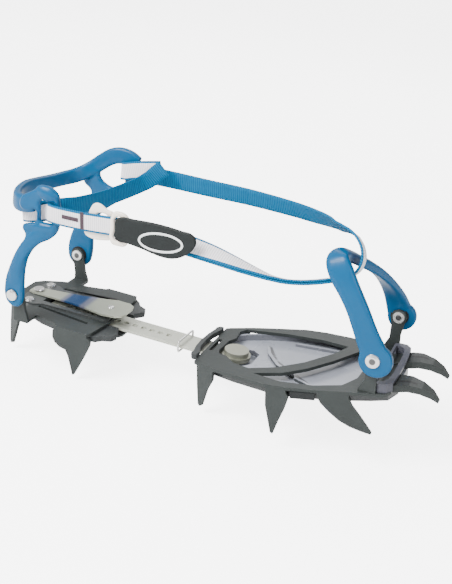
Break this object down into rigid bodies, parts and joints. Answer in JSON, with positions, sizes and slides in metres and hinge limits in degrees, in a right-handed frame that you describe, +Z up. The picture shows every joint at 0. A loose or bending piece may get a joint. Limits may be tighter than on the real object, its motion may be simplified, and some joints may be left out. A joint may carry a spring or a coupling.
{
  "type": "crampon",
  "caption": "Adjustable mountaineering crampon: pointed heel and front sections on a sliding link bar, with hinged plastic harnesses and a webbing strap.",
  "frame": {"origin": "top face of the heel plate, on the centre line straight below the heel harness rivets", "axes": "+X towards the toe points, +Y towards the far side of the boot, +Z up from the points to the sole"},
  "size_m": [0.281, 0.1004, 0.1327],
  "materials": {
    "dark_steel": "satin dark grey coating",
    "spring_steel": "brushed",
    "guide_alloy": "matt",
    "rivet_steel": "polished",
    "black_plastic": "matt",
    "antiball_film": "translucent smoke",
    "blue_plastic": "satin blue",
    "webbing": "ribbed weave, blue outside and white inside",
    "thread": "sewn thread",
    "ivory_metal": "ivory enamel",
    "tab_rubber": "matt charcoal",
    "emblem_white": "plain white outline"
  },
  "bodies": {
    "heel_section": {"heel_frame": "dark_steel", "heel_bar_guide": "guide_alloy", "heel_antiball_plate": "black_plastic", "guide_screw_near": "rivet_steel", "guide_screw_far": "rivet_steel", "leaf_pivot_rivet": "rivet_steel", "heel_rivet_near": "rivet_steel", "heel_rivet_far": "rivet_steel", "heel_washer_near": "black_plastic", "heel_washer_far": "black_plastic"},
    "link_bar": {"link_bar": "spring_steel"},
    "keeper_ring": {"bar_keeper_ring": "rivet_steel"},
    "spring_leaf": {"adjuster_leaf": "spring_steel", "locking_stud": "rivet_steel"},
    "front_section": {"front_frame": "dark_steel", "front_antiball_plate": "antiball_film", "antiball_rear_band": "black_plastic", "antiball_toe_rail": "antiball_film", "antiball_clip_near": "black_plastic", "antiball_clip_far": "black_plastic", "toe_rivet_near": "rivet_steel", "toe_rivet_far": "rivet_steel", "toe_washer_near": "black_plastic", "toe_washer_far": "black_plastic"},
    "heel_harness": {"heel_harness": "blue_plastic"},
    "toe_harness": {"toe_harness": "blue_plastic"},
    "buckle_side_strap": {"buckle_strap": "webbing", "crossing_strap": "webbing", "far_strap_anchor": "webbing", "strap_tail": "webbing", "bar_tack_long": "thread", "bar_tack_cross": "thread", "buckle_frame": "ivory_metal", "buckle_ring": "ivory_metal"},
    "toe_side_strap": {"toe_strap": "webbing"},
    "pull_tab": {"pull_tab": "tab_rubber", "tab_emblem": "emblem_white"}
  },
  "joints": [
    {"name": "length_slide", "type": "slide", "parent": "heel_section", "child": "link_bar", "axis": [1, 0, 0], "range_m": [-0.012, 0.018]},
    {"name": "bar_flex", "type": "hinge", "parent": "link_bar", "child": "front_section", "pos_m": [0.118, 0, -0.00275], "axis": [0, 1, 0], "range_deg": [-1, 1]},
    {"name": "ring_slide", "type": "slide", "parent": "link_bar", "child": "keeper_ring", "axis": [1, 0, 0], "range_m": [-0.018, 0.008]},
    {"name": "leaf_lift", "type": "hinge", "parent": "heel_section", "child": "spring_leaf", "pos_m": [-0.0105, 0, 0.0017], "axis": [0, -1, 0], "range_deg": [-2.5, 6]},
    {"name": "heel_harness_pivot", "type": "hinge", "parent": "heel_section", "child": "heel_harness", "pos_m": [0, 0, 0.017], "axis": [0, 1, 0], "range_deg": [-11, 11]},
    {"name": "toe_harness_pivot", "type": "hinge", "parent": "front_section", "child": "toe_harness", "pos_m": [0.2239, 0, 0.0364], "axis": [0, 1, 0], "range_deg": [-13, 13]},
    {"name": "strap_pivot", "type": "hinge", "parent": "heel_harness", "child": "buckle_side_strap", "pos_m": [0.0212, 0, 0.077], "axis": [0, 1, 0], "range_deg": [-14, 14]},
    {"name": "strap_run", "type": "slide", "parent": "buckle_side_strap", "child": "toe_side_strap", "axis": [1, 0, 0], "range_m": [-0.013, 0.019]},
    {"name": "tab_swing", "type": "hinge", "parent": "buckle_side_strap", "child": "pull_tab", "pos_m": [0.0712, -0.0512, 0.079], "axis": [0, 0, -1], "range_deg": [0, 75]}
  ],
  "couplings": [
    {"joint": "toe_harness_pivot", "follows": "heel_harness_pivot", "ratio": 1.156},
    {"joint": "strap_pivot", "follows": "heel_harness_pivot", "ratio": -1.245},
    {"joint": "strap_run", "follows": "length_slide", "ratio": 1}
  ]
}
